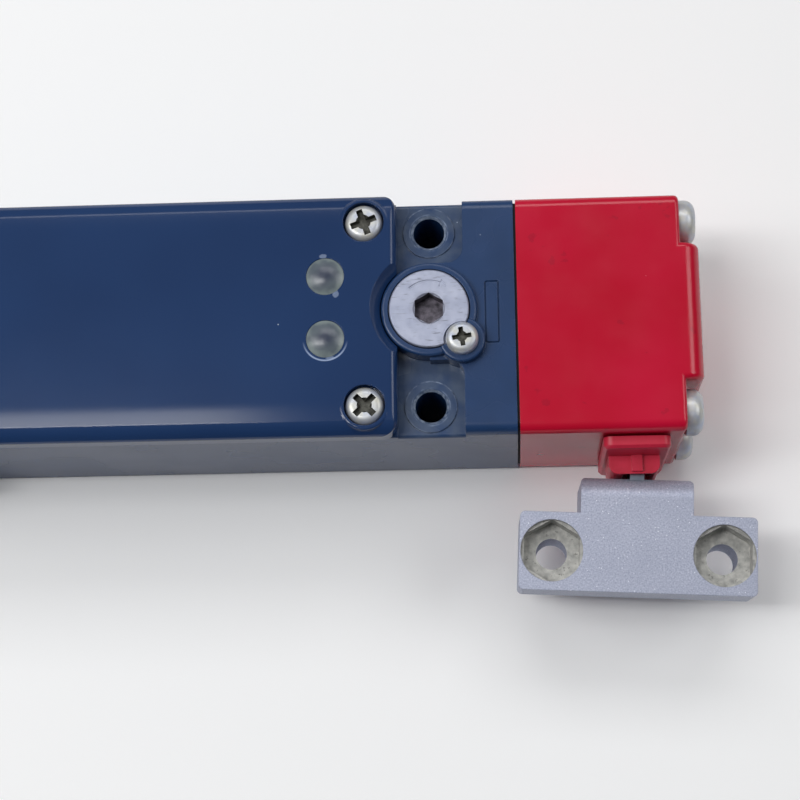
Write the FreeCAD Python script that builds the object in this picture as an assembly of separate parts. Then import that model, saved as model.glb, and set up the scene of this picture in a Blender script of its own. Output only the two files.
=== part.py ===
import FreeCAD, Part
import os
from math import cos, pi, radians, sin, sqrt

# Tongue-operated guard-locking safety switch, millimetres.
# The row origin is midway between the two neck mounting holes, on the flat back.
# +X runs along the switch towards the red head, +Z is out of the back, through the lid.
# The tongue enters the head from the -Y side.

# ---- driving dimensions -------------------------------------------------------------
WIDTH = 51.0                # across the body and the head, along Y
BLOCK_TOP = 40.0            # top of the head and of the block beside it
LID_TOP = 43.5
RIM_TOP = 37.2              # body rim that the lid gasket lies on
GASKET = 0.5
BACK_END = -148.0           # cable end of the body
FOOT_X = -135.5             # where the lid ends and the low cable-end foot starts
LID_RIGHT = -6.7
LID_HALF = 26.0             # half the lid's width: it stands out over the body
LID_ROLL = [(60.0, 0.0, 4.2), (5.2, 12.0, 48.0), (1.2, 48.0, 90.0)]
# radius and tilts of the arcs down each long side of the lid: a slight crown, the slope, the edge
STEP_X = 7.2                # pocket floor meets the full-height block here
SEAM_X = 18.0               # body meets head
HEAD_END = 53.0
BOSS_END = 57.0             # raised pad on the head's end, between the screws
POCKET_TOP = 36.5           # low ledges that take the mounting screws
RING_TOP = 36.8             # raised ring round each mounting hole
LAND_FRONT = -9.7           # the block's arm that carries the release, along Y
LAND_BACK = 11.4
CORNER_R = 3.3              # rounding where that arm meets the block, in both ledges
HALF = WIDTH / 2

HOLE_R = 3.3                # mounting holes, for M6 screws
HOLE_SPACING = 38.0
END_HOLES_X = -142.0

FLOOR = 3.0                 # body wall and floor
WALL = 2.7
CAVITY_LEFT = -132.5
CAVITY_RIGHT = -19.0

LID_SCREWS = [(x, side * 19.75) for x in (-13.5, -128.5) for side in (1, -1)]
LENSES = [(-21.6, 8.0), (-21.6, -5.5)]
LENS_R = 3.95

DISC = (0.0, 1.0)           # auxiliary-release disc
DISC_R = 8.4
DISC_TOP = 41.9
COLLAR_R = 10.1
COLLAR_TOP = 41.5
SEAL_OFFSET = 9.7 / sqrt(2)
SEAL = (DISC[0] + SEAL_OFFSET, DISC[1] - SEAL_OFFSET)
LOBE_TOP = 42.2             # pad under the sealing screw, just above the disc
SEAL_HEAD_R = 3.4
SEAL_SHANK_R = 1.2          # core of an M3 thread

AXIS_Z = 20.0               # height of the tongue, cam, rod and solenoid axes
CAM = (33.5, -9.0)
CAM_R = 11.0
CAM_LOW_R = 7.0             # cam radius under the rod with the tongue home
CAM_HALF = 2.8              # half the cam's thickness
CAM_TURN = 90.0             # degrees, over the tongue's whole travel
ROD_Y = CAM[1]
ROD_R = 3.0
RUN_FIT = 0.05              # radial clearance of a shaft that turns or slides

GUIDE = (43.3, -28.0)       # the tongue pivots into line here
TONGUE_YAW = -2.9           # play in the guide lets the bracket stand slightly askew
TONGUE_T = 3.0
TONGUE_H = 11.5
BOSS_HALF = 7.3             # half the height of the guide's boss

HEAD_SCREWS = [(sy * 20.7, AXIS_Z + 0.2 + sz * 13.2) for sy in (1, -1) for sz in (1, -1)]
SOLENOID_Y = 13.0
LEVER = (-21.5, 2.0)
ENTRY_R = 9.2               # core of an M20 x 1.5 cable entry
ENTRY_Z = 18.0
SIDE_ENTRY_X = -120.0
CHASSIS_TOP = 6.5
EARTH = (-109.0, -10.0, 8.0)  # earth screw on its post
SPRING_STEPS = 14           # rings of a spring's wire drawn in each turn
SPRING_SIDES = 6            # flats around a spring's wire

os.makedirs("parts", exist_ok=True)


# ---- small shape helpers ------------------------------------------------------------
def vec(x, y, z):
    return FreeCAD.Vector(x, y, z)


def block(x0, x1, y0, y1, z0, z1):
    return Part.makeBox(x1 - x0, y1 - y0, z1 - z0, vec(x0, y0, z0))


def rod_x(x0, x1, y, z, r):
    return Part.makeCylinder(r, x1 - x0, vec(x0, y, z), vec(1, 0, 0))


def rod_y(y0, y1, x, z, r):
    return Part.makeCylinder(r, y1 - y0, vec(x, y0, z), vec(0, 1, 0))


def rod_z(z0, z1, x, y, r):
    return Part.makeCylinder(r, z1 - z0, vec(x, y, z0), vec(0, 0, 1))


def cone_z(z0, z1, x, y, r0, r1):
    return Part.makeCone(r0, r1, z1 - z0, vec(x, y, z0), vec(0, 0, 1))


def edges_along(shape, axis, keep):
    """Straight edges of a shape that run along axis and whose middle passes keep."""
    found = []
    for edge in shape.Edges:
        if edge.Curve.TypeId != "Part::GeomLine":
            continue
        direction = edge.tangentAt(edge.FirstParameter)
        if abs(direction.dot(axis)) > 0.999 and keep(edge.CenterOfMass):
            found.append(edge)
    return found


def bar(x0, x1, half, z0, z1, r_top, r_bottom):
    """Bar along X whose four long edges are rounded."""
    shape = block(x0, x1, -half, half, z0, z1)
    middle = (z0 + z1) / 2
    top = edges_along(shape, vec(1, 0, 0), lambda c: c.z > middle)
    shape = shape.makeFillet(r_top, top)
    bottom = edges_along(shape, vec(1, 0, 0), lambda c: c.z < middle and abs(c.y) > half - 0.1)
    return shape.makeFillet(r_bottom, bottom)


def outline(points, z0, z1):
    """Prism on a closed outline of points."""
    loop = [vec(x, y, z0) for x, y in points]
    face = Part.Face(Part.makePolygon(loop + loop[:1]))
    return face.extrude(vec(0, 0, z1 - z0))


def hexagon(x, y, across_flats, z0, z1, turn):
    r = across_flats / sqrt(3)
    corners = [radians(turn + 60 * k) for k in range(6)]
    return outline([(x + r * cos(a), y + r * sin(a)) for a in corners], z0, z1)


def joined(shapes):
    result = shapes[0].multiFuse(shapes[1:])
    return result.removeSplitter()


def group(shapes):
    return Part.makeCompound(shapes)


def save(node, shape):
    shape.exportStep("parts/" + node + ".step")
    print(node, "solids", len(shape.Solids), "valid", shape.isValid(), "mm3", round(shape.Volume, 1))


def pan_screw(head_r, head_h, shank_r, length, recess):
    """Pan-head cross-recess screw: seat at z 0, head above it, shank below."""
    head = rod_z(0, head_h, 0, 0, head_r)
    rim = [edge for edge in head.Edges if edge.CenterOfMass.z > head_h - 0.1 and len(edge.Vertexes) == 1]
    head = head.makeFillet(head_h * 0.62, rim)
    depth = head_h * 0.7
    arm = block(-recess / 2, recess / 2, -recess * 0.12, recess * 0.12, head_h - depth, head_h + 1)
    centre = cone_z(head_h - depth, head_h + 0.01, 0, 0, recess * 0.13, recess * 0.28)
    cross = arm.fuse([arm.rotated(vec(0, 0, 0), vec(0, 0, 1), 90), centre])
    return joined([head, rod_z(-length, 0, 0, 0, shank_r)]).cut(cross)


def spring_x(x0, x1, y, z, coil_r, wire_r, turns):
    """Open helical spring along X, its round wire drawn as a hexagonal one."""
    steps = SPRING_STEPS * turns
    rings = []
    for step in range(steps + 1):
        turn = 2 * pi * turns * step / steps
        x = x0 + wire_r + (x1 - x0 - 2 * wire_r) * step / steps
        ring = []
        for side in range(SPRING_SIDES):
            lean = 2 * pi * side / SPRING_SIDES
            r = coil_r + wire_r * cos(lean)
            ring.append(vec(x + wire_r * sin(lean), y + r * cos(turn), z + r * sin(turn)))
        rings.append(ring)
    corners = [rings[0], rings[-1]]
    for near, far in zip(rings, rings[1:]):
        for side in range(SPRING_SIDES):
            after = (side + 1) % SPRING_SIDES
            corners.append([near[side], near[after], far[after]])
            corners.append([near[side], far[after], far[side]])
    shell = Part.Shell([Part.Face(Part.makePolygon(c + c[:1])) for c in corners])
    shell.sewShape()
    coil = Part.Solid(shell)
    if coil.Volume < 0:
        coil.reverse()
    return coil


def in_tongue_frame(shape):
    """Places a shape drawn about the guide's mouth, with the tongue's slight turn."""
    shape.rotate(vec(0, 0, 0), vec(0, 0, 1), TONGUE_YAW)
    shape.translate(vec(GUIDE[0], GUIDE[1], 0))
    return shape


# ---- blue body ----------------------------------------------------------------------
def hole_places():
    return [(x, side * HOLE_SPACING / 2) for x in (0.0, END_HOLES_X) for side in (1, -1)]


def mounting_holes():
    holes = [rod_z(-1, POCKET_TOP + 1, x, y, HOLE_R) for x, y in hole_places()]
    bevel = 0.5
    low, high = RING_TOP - bevel, RING_TOP + 0.01
    holes += [cone_z(low, high, x, y, HOLE_R, HOLE_R + bevel) for x, y in hole_places()]
    return holes


def topped_rod(z0, z1, place, r, round_r):
    """Upright rod whose top edge is rounded."""
    rod = rod_z(z0, z1, place[0], place[1], r)
    rim = [edge for edge in rod.Edges if abs(edge.CenterOfMass.z - z1) < 0.01 and len(edge.Vertexes) == 1]
    return rod.makeFillet(round_r, rim)


def body_casting():
    trough = bar(FOOT_X - 0.5, LID_RIGHT - 0.3, HALF, 0, RIM_TOP, 0.4, 0.8)
    foot = bar(BACK_END, FOOT_X, HALF, 0, POCKET_TOP, 1.5, 0.8)
    foot = foot.makeFillet(3.0, edges_along(foot, vec(0, 0, 1), lambda c: c.x < BACK_END + 1))
    neck = bar(LID_RIGHT - 0.5, STEP_X + 0.5, HALF, 0, POCKET_TOP, 0.8, 0.8)
    tall = bar(STEP_X, SEAM_X, HALF, 0, BLOCK_TOP, 2.3, 0.8)
    root = POCKET_TOP - 5
    land = block(DISC[0], STEP_X + 1, LAND_FRONT, LAND_BACK, root, BLOCK_TOP)
    corners = []
    for edge, side in ((LAND_FRONT, -1), (LAND_BACK, 1)):
        out = edge + side * CORNER_R
        y0, y1 = sorted((out, edge - side))
        corner = block(STEP_X - CORNER_R, STEP_X + 1, y0, y1, root, BLOCK_TOP)
        corners.append(corner.cut(rod_z(root - 1, BLOCK_TOP + 1, STEP_X - CORNER_R, out, CORNER_R)))
    collar = topped_rod(root, COLLAR_TOP, DISC, COLLAR_R, 0.6)
    lobe = topped_rod(root, LOBE_TOP, SEAL, 4.8, 0.5)
    rings = [rod_z(POCKET_TOP - 1, RING_TOP, x, y, 5.5) for x, y in hole_places()]
    shape = joined([trough, foot, neck, tall, land, collar, lobe] + corners + rings)

    cavity = block(CAVITY_LEFT, CAVITY_RIGHT, -HALF + WALL, HALF - WALL, FLOOR, RIM_TOP + 1)
    cavity = cavity.makeFillet(3.0, edges_along(cavity, vec(0, 0, 1), lambda c: True))
    channel = block(CAVITY_RIGHT - 1, 10, -13.9, 13.2, 12, 30)
    plunger_bay = block(CAVITY_RIGHT - 1, CAVITY_RIGHT + 4.5, 0, 16.8, 12, 30)
    shape = shape.cut(joined([cavity, channel, plunger_bay]))

    posts = [rod_z(0.5, RIM_TOP, x, y, 4.6) for x, y in LID_SCREWS if x < CAVITY_RIGHT - 10]
    posts += [rod_z(0.5, 5.0, x, y, 3.5) for x, y in chassis_corners()]
    posts.append(rod_z(0.5, EARTH[2], EARTH[0], EARTH[1], 4.0))
    for side in (1, -1):
        y0, y1 = (16.0, HALF - 1) if side > 0 else (-HALF + 1, -16.0)
        posts.append(rod_y(y0, y1, SIDE_ENTRY_X, ENTRY_Z, 12.0))
    shape = shape.fuse(posts).removeSplitter()

    holes = mounting_holes()
    holes += [rod_z(RIM_TOP - 12, RIM_TOP + 1, x, y, 2.0) for x, y in LID_SCREWS]
    holes += [rod_z(2.0, 6.0, x, y, 1.5) for x, y in chassis_corners()]
    holes.append(rod_z(2.0, EARTH[2] + 1, EARTH[0], EARTH[1], 1.95))
    holes.append(rod_z(35.8, COLLAR_TOP + 2, DISC[0], DISC[1], DISC_R + 0.25))
    holes.append(rod_z(29.0, 36.0, DISC[0], DISC[1], 3.0 + RUN_FIT))
    holes.append(rod_z(LOBE_TOP - 9, LOBE_TOP + 1, SEAL[0], SEAL[1], SEAL_SHANK_R + 0.03))
    holes.append(rod_x(9.0, SEAM_X + 1, ROD_Y, AXIS_Z, 5.0))
    holes += [rod_x(8.0, SEAM_X + 1, y, z, 2.5) for y, z in HEAD_SCREWS]
    holes.append(rod_x(BACK_END - 1, CAVITY_LEFT + 1, 0, ENTRY_Z, ENTRY_R))
    holes.append(rod_y(-HALF - 1, -15, SIDE_ENTRY_X, ENTRY_Z, ENTRY_R))
    holes.append(rod_y(15, HALF + 1, SIDE_ENTRY_X, ENTRY_Z, ENTRY_R))
    holes.append(label_groove())
    return shape.cut(group(holes))


def label_groove():
    """Thin outlined panel beside the head, 3 x 13.5 mm."""
    x0, x1, y0, y1 = 11.7, 14.7, -6.3, 7.2
    line = 0.28
    outer = block(x0, x1, y0, y1, BLOCK_TOP - 0.3, BLOCK_TOP + 1)
    outer = outer.makeFillet(0.5, edges_along(outer, vec(0, 0, 1), lambda c: True))
    inner = block(x0 + line, x1 - line, y0 + line, y1 - line, BLOCK_TOP - 1, BLOCK_TOP + 2)
    inner = inner.makeFillet(0.25, edges_along(inner, vec(0, 0, 1), lambda c: True))
    return outer.cut(inner)


def lid_plan(z0, z1, inset):
    """Plan of the lid and its gasket: rounded corners and a round notch for the collar."""
    shape = block(FOOT_X + inset, LID_RIGHT - inset, -HALF - 0.1 + inset, HALF + 0.1 - inset, z0, z1)
    shape = shape.makeFillet(3.5, edges_along(shape, vec(0, 0, 1), lambda c: True))
    return shape.cut(rod_z(z0 - 1, z1 + 1, DISC[0], DISC[1], COLLAR_R + 0.25 + inset))


def lid_section(z0):
    """Bar with the lid's section: flat on top, with each long side rolled down in three arcs."""
    y = LID_HALF - sum(r * (sin(radians(end)) - sin(radians(start))) for r, start, end in LID_ROLL)
    z = LID_TOP
    corners = [(y, z)]
    middles = []
    for r, start, end in LID_ROLL:
        for tilt, found in (((start + end) / 2, middles), (end, corners)):
            across = r * (sin(radians(tilt)) - sin(radians(start)))
            down = r * (cos(radians(start)) - cos(radians(tilt)))
            found.append((y + across, z - down))
        y, z = corners[-1]
    edges = []
    for side in (1, -1):
        ends = [vec(FOOT_X - 1, side * y, z) for y, z in corners]
        for start, middle, end in zip(ends, middles, ends[1:]):
            edges.append(Part.Arc(start, vec(FOOT_X - 1, side * middle[0], middle[1]), end).toShape())
        edges.append(Part.makeLine(ends[-1], vec(FOOT_X - 1, side * LID_HALF, z0)))
    for y, z in (corners[0], (LID_HALF, z0)):
        edges.append(Part.makeLine(vec(FOOT_X - 1, -y, z), vec(FOOT_X - 1, y, z)))
    face = Part.Face(Part.Wire(Part.sortEdges(edges)[0]))
    return face.extrude(vec(LID_RIGHT - FOOT_X + 2, 0, 0))


def lid():
    z0 = RIM_TOP + GASKET
    shape = block(FOOT_X, LID_RIGHT, -LID_HALF, LID_HALF, z0, LID_TOP)
    shape = shape.makeFillet(3.5, edges_along(shape, vec(0, 0, 1), lambda c: True))
    top = [edge for edge in shape.Edges if abs(edge.CenterOfMass.z - LID_TOP) < 0.01]
    shape = shape.makeFillet(1.6, top)
    shape = shape.common(lid_section(z0 - 1))
    notch = rod_z(z0 - 1, LID_TOP + 1, DISC[0], DISC[1], COLLAR_R + 0.25)
    bevel = cone_z(LID_TOP - 2.6, LID_TOP + 0.1, DISC[0], DISC[1], COLLAR_R + 0.25, 12.3)
    hollow = block(FOOT_X + 4, CAVITY_RIGHT + 1, -HALF + 3.2, HALF - 3.2, z0 - 1, LID_TOP - 2.3)
    shape = shape.cut(notch).cut(bevel).cut(hollow)
    bosses = [topped_rod(z0, LID_TOP, place, 5.3, 0.5) for place in LID_SCREWS]
    pegs = [rod_z(38.0, LID_TOP - 2, -28.5, y, 1.3) for y in (13.5, -11.0)]
    seats = [rod_z(z0, LID_TOP - 2, x, y, 4.6) for x, y in LID_SCREWS if x < CAVITY_RIGHT - 10]
    shape = shape.fuse(bosses + pegs + seats).removeSplitter()
    holes = [rod_z(LID_TOP - 2.6, LID_TOP + 1, x, y, 4.3) for x, y in LID_SCREWS]
    holes += [rod_z(z0 - 1, LID_TOP, x, y, 2.25) for x, y in LID_SCREWS]
    holes += [rod_z(z0, LID_TOP + 1, x, y, LENS_R + 0.05) for x, y in LENSES]
    return shape.cut(group(holes))


def lid_gasket():
    z0 = RIM_TOP
    shape = lid_plan(z0, z0 + GASKET, 0.5)
    inner = block(CAVITY_LEFT + 0.5, CAVITY_RIGHT - 0.5, -HALF + 3.5, HALF - 3.5, z0 - 1, z0 + 2)
    shape = shape.cut(inner)
    pads = [rod_z(z0, z0 + GASKET, x, y, 4.4) for x, y in LID_SCREWS if x < CAVITY_RIGHT - 10]
    shape = shape.fuse(pads).removeSplitter()
    return shape.cut(group([rod_z(z0 - 1, z0 + 2, x, y, 2.25) for x, y in LID_SCREWS]))


def lid_screws():
    turns = (20, 45, 10, 70)
    screws = []
    for (x, y), turn in zip(LID_SCREWS, turns):
        screw = pan_screw(4.0, 2.6, 1.98, 13.5, 5.6)
        screw.rotate(vec(0, 0, 0), vec(0, 0, 1), turn)
        screw.translate(vec(x, y, LID_TOP - 2.6))
        screws.append(screw)
    return group(screws)


def indicator_lenses():
    lenses = []
    dome_h = 1.2
    sphere_r = (LENS_R ** 2 + dome_h ** 2) / (2 * dome_h)
    for x, y in LENSES:
        stem = rod_z(LID_TOP - 2.2, LID_TOP - 0.1, x, y, LENS_R)
        ball = Part.makeSphere(sphere_r, vec(x, y, LID_TOP - 0.1 + dome_h - sphere_r))
        dome = ball.common(rod_z(LID_TOP - 0.1, LID_TOP + 3, x, y, LENS_R))
        lenses.append(joined([stem, dome]))
    return group(lenses)


def indicator_leds():
    leds = []
    for x, y in LENSES:
        base = rod_z(39.4, 40.0, x, y, 2.5)
        dome = rod_z(40.0, 41.1, x, y, 2.1)
        leds.append(joined([base, dome]))
    return group(leds)


def led_board():
    board = block(-32.0, -19.5, -13.0, 15.5, 38.0, 39.4)
    return board.cut(group([rod_z(37, 40, -28.5, y, 1.35) for y in (13.5, -11.0)]))


# ---- red head -----------------------------------------------------------------------
def head_gasket():
    inset = 0.7
    shape = bar(SEAM_X, SEAM_X + GASKET, HALF - inset, 1.0, BLOCK_TOP - inset, 1.8, 1.8)
    shape = shape.cut(rod_x(SEAM_X - 1, SEAM_X + 2, ROD_Y, AXIS_Z, 5.4))
    return shape.cut(group([rod_x(SEAM_X - 1, SEAM_X + 2, y, z, 2.7) for y, z in HEAD_SCREWS]))


def head_housing():
    x0 = SEAM_X + GASKET
    z0 = 0.4
    outer = bar(x0, HEAD_END, HALF, z0, BLOCK_TOP, 2.2, 1.5)
    outer = outer.makeFillet(1.0, [e for e in outer.Edges if abs(e.CenterOfMass.x - HEAD_END) < 0.01])
    pad = block(HEAD_END - 8, BOSS_END, -14.8, 14.8, z0, BLOCK_TOP)
    pad = pad.makeFillet(3.8, edges_along(pad, vec(0, 1, 0), lambda c: c.x > BOSS_END - 0.1))
    pad_sides = edges_along(pad, vec(0, 0, 1), lambda c: c.x > BOSS_END - 0.1)
    pad = pad.makeFillet(1.2, pad_sides)
    cavity = block(x0 - 1, HEAD_END - 3, -HALF + 3, HALF - 3, 3.5, 37.0)
    shape = outer.cut(cavity)
    columns = [rod_x(x0, HEAD_END - 1, y, z, 4.6) for y, z in HEAD_SCREWS]
    columns = [c.common(bar(x0, HEAD_END, HALF, z0, BLOCK_TOP, 2.2, 1.5)) for c in columns]
    columns.append(pad.cut(block(x0, HEAD_END - 3, -20, 20, 0, 60)))
    shape = shape.fuse(columns).removeSplitter()
    holes = [rod_x(x0 - 1, HEAD_END + 1, y, z, 2.7) for y, z in HEAD_SCREWS]
    holes.append(block(38.0, 48.6, -HALF - 1, -HALF + 4, 9.6, 30.4))
    holes.append(block(HEAD_END - 4, BOSS_END + 1, -1.4, 3.4, 11.0, 29.0))
    holes.append(plug_flange(0.05, 1))
    holes.append(rod_z(2.0, 38.5, CAM[0], CAM[1], 2.5))
    return shape.cut(group(holes))


def head_screws():
    screws = []
    for k, (y, z) in enumerate(HEAD_SCREWS):
        screw = pan_screw(4.9, 3.7, 2.45, HEAD_END - 9.0, 6.4)
        screw.rotate(vec(0, 0, 0), vec(0, 0, 1), 15 + 40 * k)
        screw.rotate(vec(0, 0, 0), vec(0, 1, 0), 90)
        screw.translate(vec(HEAD_END, y, z))
        screws.append(screw)
    return group(screws)


def tongue_guide():
    """Red insert in the head's side: flange, funnel-mouthed boss and a root in the wall."""
    face = -HALF - 0.4
    flange_y = face - 2.5
    boss_y = flange_y - 3.9
    flange = block(35.8, 49.8, flange_y, face, 4.0, 36.0)
    flange = flange.makeFillet(1.8, edges_along(flange, vec(0, 1, 0), lambda c: True))
    front = [e for e in flange.Edges if abs(e.CenterOfMass.y - flange_y) < 0.01]
    flange = flange.makeChamfer(0.6, front)
    boss = block(37.1, 47.9, boss_y, flange_y + 0.5, AXIS_Z - BOSS_HALF, AXIS_Z + BOSS_HALF)
    boss = boss.makeFillet(2.0, edges_along(boss, vec(0, 0, 1), lambda c: c.y < boss_y + 0.1))
    top = AXIS_Z + BOSS_HALF
    rib = block(41.9, 44.2, boss_y + 0.4, flange_y + 0.2, top - 0.5, top + 0.8)
    root = block(38.05, 48.55, face - 0.1, -HALF + 3.0, 9.65, 30.35)
    shape = joined([flange, boss, rib, root])
    x0, x1 = 41.15, 45.65
    z0, z1 = AXIS_Z - TONGUE_H / 2 - 0.55, AXIS_Z + TONGUE_H / 2 + 0.55
    slot = block(x0, x1, boss_y - 1, -HALF + 6, z0, z1)
    flare = 1.2
    mouth = Part.makeWedge(
        x0 - flare, boss_y - 0.01, z0 - 0.5, z0, x0,
        x1 + flare, boss_y + 2.5, z1 + 0.5, z1, x1,
    )
    return shape.cut(slot).cut(mouth)


def plug_flange(grow, proud):
    """Flange of the slot plug, let into the pad's face."""
    flange = block(BOSS_END - 1.2, BOSS_END + proud, -2.6 - grow, 4.6 + grow, 9.6 - grow, 30.4 + grow)
    return flange.makeFillet(0.8, edges_along(flange, vec(1, 0, 0), lambda c: True))


def slot_plug():
    """Blanking plug in the head's unused end slot, flush with the pad."""
    stem = block(HEAD_END - 2.5, BOSS_END - 1, -1.35, 3.35, 11.05, 28.95)
    return joined([plug_flange(0, 0), stem])


def cam_axle():
    return rod_z(2.0, 38.5, CAM[0], CAM[1], 2.5)


def rod_bush():
    sleeve = rod_x(10.5, SEAM_X + GASKET, ROD_Y, AXIS_Z, 5.0)
    return sleeve.cut(rod_x(9, 20, ROD_Y, AXIS_Z, ROD_R + RUN_FIT))


def cam_radius(angle):
    """Cam profile: two notches for the tongue's bar and a rising ramp under the rod."""
    for notch in (20.0, 111.0):
        if abs(angle - notch) < 28.0:
            return 8.2
    if 166.0 <= angle <= 180.0:
        return CAM_LOW_R
    if 180.0 < angle <= 180.0 + CAM_TURN:
        return CAM_LOW_R + (CAM_R - CAM_LOW_R) * (angle - 180.0) / CAM_TURN
    return CAM_R


def cam_wheel():
    steps = 180
    points = []
    for k in range(steps):
        angle = 360.0 * k / steps
        r = cam_radius(angle)
        if points and abs(r - previous) > 0.5:
            points.append((CAM[0] + r * cos(radians(angle - 1)), CAM[1] + r * sin(radians(angle - 1))))
        points.append((CAM[0] + r * cos(radians(angle)), CAM[1] + r * sin(radians(angle))))
        previous = r
    disc = outline(points, AXIS_Z - CAM_HALF, AXIS_Z + CAM_HALF)
    hub = rod_z(4.0, 36.5, CAM[0], CAM[1], 4.6)
    return joined([disc, hub]).cut(rod_z(0, 45, CAM[0], CAM[1], 2.5 + RUN_FIT))


# ---- actuator -----------------------------------------------------------------------
BRACKET_Z = (12.0, 28.0)
BRACKET_HOLE_Y = -21.3      # hole line, from the guide's mouth
BRACKET_HOLE_X = 18.0
BRACKET_SHIFT = 0.3
STEM_HALF = 11.8
EAR_HALF = 24.8
STEM_END = -5.2
BRACKET_DRAFT = 0.35        # the casting's sides are this much wider at its back
BRACKET_LEAN = 0.9          # its front face leans in by this much towards the back
BRACKET_SEAT_Z = 22.0       # floor of the hexagon pockets


def bracket_outline(z, grow, lean):
    """T outline at height z: two ears with the stem between them."""
    left, right = BRACKET_SHIFT - EAR_HALF - grow, BRACKET_SHIFT + EAR_HALF + grow
    low, ear, top = BRACKET_HOLE_Y - 8.4 + lean, BRACKET_HOLE_Y + 8.2 + grow, STEM_END
    s0, s1 = -STEM_HALF - grow, STEM_HALF + grow
    corners = [(left, low), (right, low), (right, ear), (s1, ear)]
    corners += [(s1, top), (s0, top), (s0, ear), (left, ear)]
    loop = [vec(x, y, z) for x, y in corners]
    return Part.makePolygon(loop + loop[:1])


def actuator_bracket():
    z0, z1 = BRACKET_Z
    back = bracket_outline(z0, BRACKET_DRAFT, BRACKET_LEAN)
    shape = Part.makeLoft([back, bracket_outline(z1, 0, 0)], True, True)
    upright = []
    for edge in shape.Edges:
        ends = [v.Point for v in edge.Vertexes]
        middle = edge.CenterOfMass
        inner = middle.y > BRACKET_HOLE_Y + 7.5 and abs(abs(middle.x) - STEM_HALF) < 0.6
        if abs(ends[0].z - ends[1].z) > 10 and not (inner and middle.y < STEM_END - 3):
            upright.append(edge)
    shape = shape.makeFillet(1.1, upright)
    nose = block(-20, 20, STEM_END - 5.5, STEM_END + 2, z0 - 1, z1 + 1)
    nose = nose.cut(rounded_nose(z0, z1))
    shape = shape.cut(nose)
    cuts = []
    for side in (1, -1):
        x = BRACKET_SHIFT + side * BRACKET_HOLE_X
        cuts.append(rod_z(z1 - 1.2, z1 + 1, x, BRACKET_HOLE_Y, 6.55))
        cuts.append(hexagon(x, BRACKET_HOLE_Y, 11.7, BRACKET_SEAT_Z, z1 + 1, 90).common(
            rod_z(BRACKET_SEAT_Z, z1 + 1, x, BRACKET_HOLE_Y, 6.55)))
        cuts.append(rod_z(z0 - 1, z1 + 1, x, BRACKET_HOLE_Y, HOLE_R))
    cuts.append(block(-TONGUE_T / 2, TONGUE_T / 2, STEM_END - 9, STEM_END + 2,
                      AXIS_Z - TONGUE_H / 2, AXIS_Z + TONGUE_H / 2))
    cuts += tongue_rivet_bars()
    return in_tongue_frame(shape.cut(group(cuts)))


def rounded_nose(z0, z1):
    """Stem end, rounded over at its front and back edges."""
    r = 5.0
    end = block(-20, 20, STEM_END - 6, STEM_END + 0.5, z0 - 0.5, z1)
    top = edges_along(end, vec(1, 0, 0), lambda c: c.y > STEM_END and c.z > z1 - 0.1)
    end = end.makeFillet(r, top)
    low = edges_along(end, vec(1, 0, 0), lambda c: c.y > STEM_END and c.z < z0)
    return end.makeFillet(1.5, low)


def tongue_rivet_bars():
    return [
        rod_x(-STEM_HALF + 1.0, STEM_HALF - 1.0, STEM_END - 5.5, AXIS_Z + dz, 1.4)
        for dz in (-3.3, 3.3)
    ]


def tongue():
    root, tip = STEM_END - 9, 28.0
    half = TONGUE_H / 2
    shape = block(-TONGUE_T / 2, TONGUE_T / 2, root, tip, AXIS_Z - half, AXIS_Z + half)
    shape = shape.makeFillet(2.0, edges_along(shape, vec(1, 0, 0), lambda c: c.y > tip - 0.1))
    window = block(-3, 3, 7.0, 24.0, AXIS_Z - CAM_HALF - 0.4, AXIS_Z + CAM_HALF + 0.4)
    window = window.makeFillet(1.0, edges_along(window, vec(1, 0, 0), lambda c: True))
    shape = shape.cut(window).cut(group(tongue_rivet_bars()))
    return in_tongue_frame(shape)


def tongue_rivets():
    return in_tongue_frame(group(tongue_rivet_bars()))


# ---- auxiliary release --------------------------------------------------------------
def release_disc():
    shape = rod_z(37.8, DISC_TOP, DISC[0], DISC[1], DISC_R)
    rim = [e for e in shape.Edges if e.CenterOfMass.z > DISC_TOP - 0.1 and len(e.Vertexes) == 1]
    shape = shape.makeChamfer(0.25, rim)
    shape = joined([shape, rod_z(22.8, 38.0, DISC[0], DISC[1], 3.0)])
    socket = hexagon(DISC[0], DISC[1], 5.9, DISC_TOP - 3.6, DISC_TOP + 1, 90)
    mouth = cone_z(DISC_TOP - 0.3, DISC_TOP + 0.01, DISC[0], DISC[1], 3.05, 3.4)
    bite = rod_z(DISC_TOP - 1.3, DISC_TOP + 1, SEAL[0], SEAL[1], SEAL_HEAD_R + 0.45)
    return shape.cut(socket).cut(mouth).cut(bite).cut(turn_arrow())


def turn_arrow():
    """Shallow engraved arc with an arrow head, showing which way the disc turns."""
    depth = 0.15
    r = 6.0
    ring = rod_z(DISC_TOP - depth, DISC_TOP + 1, DISC[0], DISC[1], r + 0.17)
    ring = ring.cut(rod_z(0, 60, DISC[0], DISC[1], r - 0.17))
    a0, a1 = radians(66), radians(132)
    reach = 12.0
    fan = outline([
        (DISC[0], DISC[1]),
        (DISC[0] + reach * cos(a0), DISC[1] + reach * sin(a0)),
        (DISC[0] + reach * cos((a0 + a1) / 2), DISC[1] + reach * sin((a0 + a1) / 2)),
        (DISC[0] + reach * cos(a1), DISC[1] + reach * sin(a1)),
    ], DISC_TOP - depth, DISC_TOP + 1)
    a2 = radians(50)
    head = outline([
        (DISC[0] + (r + 0.8) * cos(a0), DISC[1] + (r + 0.8) * sin(a0)),
        (DISC[0] + (r - 0.8) * cos(a0), DISC[1] + (r - 0.8) * sin(a0)),
        (DISC[0] + r * cos(a2), DISC[1] + r * sin(a2)),
    ], DISC_TOP - depth, DISC_TOP + 1)
    return joined([ring.common(fan), head])


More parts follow.
